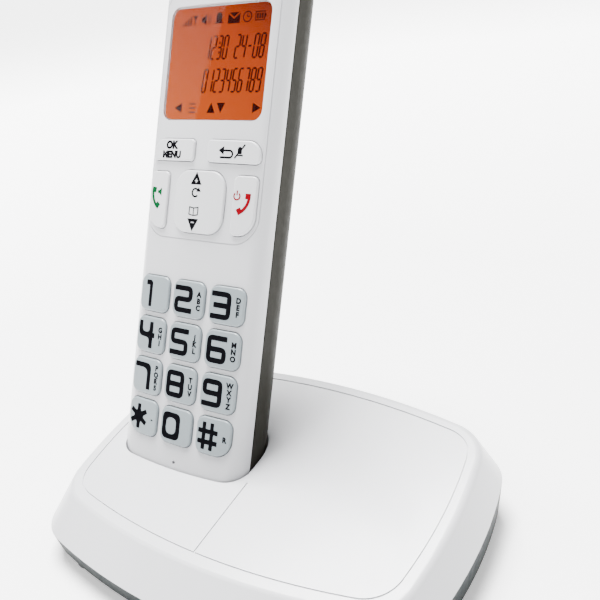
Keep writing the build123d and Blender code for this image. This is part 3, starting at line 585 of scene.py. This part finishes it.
def display_icons():
    """Top row: signal, speaker, bell, envelope, clock and battery. Each with its (u, v) place."""
    bars = [box_outline(1.05 * i, 0, 1.05 * i + 0.6, 0.8 + 0.7 * i) for i in range(4)]
    aerial = [box_outline(-0.2, 0, 0.2, 3.2), [(-1.1, 3.2), (0, 1.7), (1.1, 3.2)]]
    speaker = [
        [(0, 0.8), (0.9, 0.8), (2.0, 1.9), (2.0, -1.9), (0.9, -0.8), (0, -0.8)],
        arc_band(1.6, 0, 1.2, 1.5, -45, 45, 8),
        arc_band(1.6, 0, 1.9, 2.2, -45, 45, 8),
    ]
    bell = [ring_outline(0, 0.9, 1.15), box_outline(-1.15, -1.0, 1.15, 0.9), box_outline(-1.7, -1.4, 1.7, -1.0)]
    envelope = [[(0, 0), (4.6, 0), (4.6, 3.0), (2.3, 1.3), (0, 3.0)], [(0.4, 3.3), (4.2, 3.3), (2.3, 1.9)]]
    clock = [
        arc_band(0, 0, 1.35, 1.7, 0, 359.9, 28),
        box_outline(-0.15, -0.1, 0.15, 1.1),
        box_outline(0, -0.15, 0.9, 0.15),
    ]
    battery = [
        box_outline(0, 0, 3.6, 0.3), box_outline(0, 2.5, 3.6, 2.8), box_outline(0, 0.3, 0.3, 2.5),
        box_outline(3.3, 0.3, 3.6, 2.5), box_outline(3.6, 0.9, 4.0, 1.9),
    ]
    battery += [box_outline(0.6 + 0.9 * i, 0.6, 1.2 + 0.9 * i, 2.2) for i in range(3)]
    return [
        (bars, (-15.4, ICON_ROW_V - 1.6)), (aerial, (-10.2, ICON_ROW_V - 1.7)), (speaker, (-7.6, ICON_ROW_V)),
        (bell, (-0.6, ICON_ROW_V)), (envelope, (2.9, ICON_ROW_V - 1.7)), (clock, (10.3, ICON_ROW_V)),
        (battery, (13.2, ICON_ROW_V - 1.4)),
    ]


def display_content():
    parts = []
    for row_v, digits in DIGIT_ROWS:
        for i, digit in enumerate(digits):
            if digit != " ":
                parts += shapes(segment_digit(digit), (DIGIT_START_U + DIGIT_STEP * i, row_v))
    colon = [box_outline(-0.25, 1.6, 0.25, 2.3), box_outline(-0.25, 4.5, 0.25, 5.2)]
    parts += shapes(colon, (0.6, DIGIT_ROWS[0][0]))
    for icon, place in display_icons():
        parts += shapes(icon, place)
    up_and_down = [[(-2.2, 0), (1.0, 0), (-0.6, ARROW_H)], [(1.6, ARROW_H), (3.2, 0), (4.8, ARROW_H)]]
    parts += shapes(up_and_down, (0.2, BOTTOM_ROW_V))
    parts += shapes([[(0, 0), (3.0, ARROW_H / 2), (0, ARROW_H)]], (15.6, BOTTOM_ROW_V))
    parts += shapes([[(0, 0), (0, ARROW_H), (-3.0, ARROW_H / 2)]], (-12.4, BOTTOM_ROW_V))
    page = [box_outline(0, 0.0, 2.6, 0.4), box_outline(0, 1.3, 2.6, 1.7), box_outline(0, 2.6, 2.6, 3.0)]
    parts += shapes(page, (-9.4, BOTTOM_ROW_V))
    print_on("lcd_symbols", "lcd_panel", parts, LCD_INK, "handset", 0, FILM_DEPTH - FILM_LEAD)


dial_legends()
talk_symbol()
end_symbol()
menu_text()
back_symbol()
navigation_symbols()
display_film()
display_content()


# ---- floor, light ----
FLOOR_SIZE = 80.0
FLOOR_GLOW = (0.22, 1.0, 0.5, 4.6)     # near and far distance in metres, and the glow at each
TOP_LIGHT_PLACE, TOP_LIGHT_AIM = (-0.30, 0.30, 1.30), (0, 0, 0.05)
TOP_LIGHT_SIZE, TOP_LIGHT_POWER = (0.7, 0.7), 122.0
WORLD_STRENGTH = 0.65
GLARE_LINE = ((2.0, 131.0), (-5.0, 100.0))   # where the softbox's edge shows in the window
GLARE_DISTANCE, GLARE_SIZE, GLARE_POWER = 0.6, (0.16, 0.5), 1.1


def add_floor():
    bpy.ops.mesh.primitive_plane_add(size=FLOOR_SIZE, location=(0, 0, 0))
    floor = bpy.context.object
    floor.name = "floor"
    shader = Shader("floor_white", (0.94, 0.94, 0.94), 0.6, Specular_IOR_Level=0.2)
    shader.mottle(0.02, 0.004)
    shader.bsdf.inputs["Emission Color"].default_value = (1.0, 1.0, 1.0, 1.0)
    reach = shader.node("ShaderNodeVectorMath", operation="LENGTH")
    shader.link(shader.coordinates, reach.inputs[0])
    glow = shader.ramp(reach.outputs["Value"], *FLOOR_GLOW)
    shader.link(glow, shader.bsdf.inputs["Emission Strength"])
    floor.data.materials.append(shader.material)


def softbox(name, size, power):
    data = bpy.data.lights.new(name, "AREA")
    data.shape = "RECTANGLE"
    data.size, data.size_y = size
    data.energy = power
    lamp = bpy.data.objects.new(name, data)
    bpy.context.scene.collection.objects.link(lamp)
    return lamp


def add_top_light():
    lamp = softbox("top_light", TOP_LIGHT_SIZE, TOP_LIGHT_POWER)
    lamp.location = TOP_LIGHT_PLACE
    sight = Vector(TOP_LIGHT_AIM) - Vector(TOP_LIGHT_PLACE)
    lamp.rotation_euler = sight.to_track_quat("-Z", "Y").to_euler()


def add_glare_box():
    """Softbox whose right edge is mirrored as a slanting line across the display window."""
    eye = camera.matrix_world.translation
    window_middle = on_face(0, 115)
    edge = []
    for u, v in GLARE_LINE:
        point = on_face(u, v, -1.0)
        sight = (point - eye).normalized()
        mirrored = sight - 2 * sight.dot(OUT_OF_FACE) * OUT_OF_FACE
        edge.append(point + mirrored * GLARE_DISTANCE)
    middle = (edge[0] + edge[1]) / 2
    along = (edge[0] - edge[1]).normalized()
    left = along.cross(window_middle - middle).normalized()
    if left.x > 0:
        left = -left
    facing = along.cross(left).normalized()
    if facing.dot(window_middle - middle) < 0:
        facing = -facing
    side = along.cross(facing).normalized()
    axes = Matrix((side, side.cross(facing), -facing)).transposed().to_4x4()
    lamp = softbox("glare_box", GLARE_SIZE, GLARE_POWER)
    lamp.matrix_world = Matrix.Translation(middle + left * GLARE_SIZE[0] / 2) @ axes


def add_light():
    world = bpy.data.worlds.new("studio")
    bpy.context.scene.world = world
    world.use_nodes = True
    world.node_tree.nodes["Background"].inputs["Color"].default_value = (1.0, 1.0, 1.0, 1.0)
    world.node_tree.nodes["Background"].inputs["Strength"].default_value = WORLD_STRENGTH
    add_top_light()
    add_glare_box()


add_floor()
add_light()
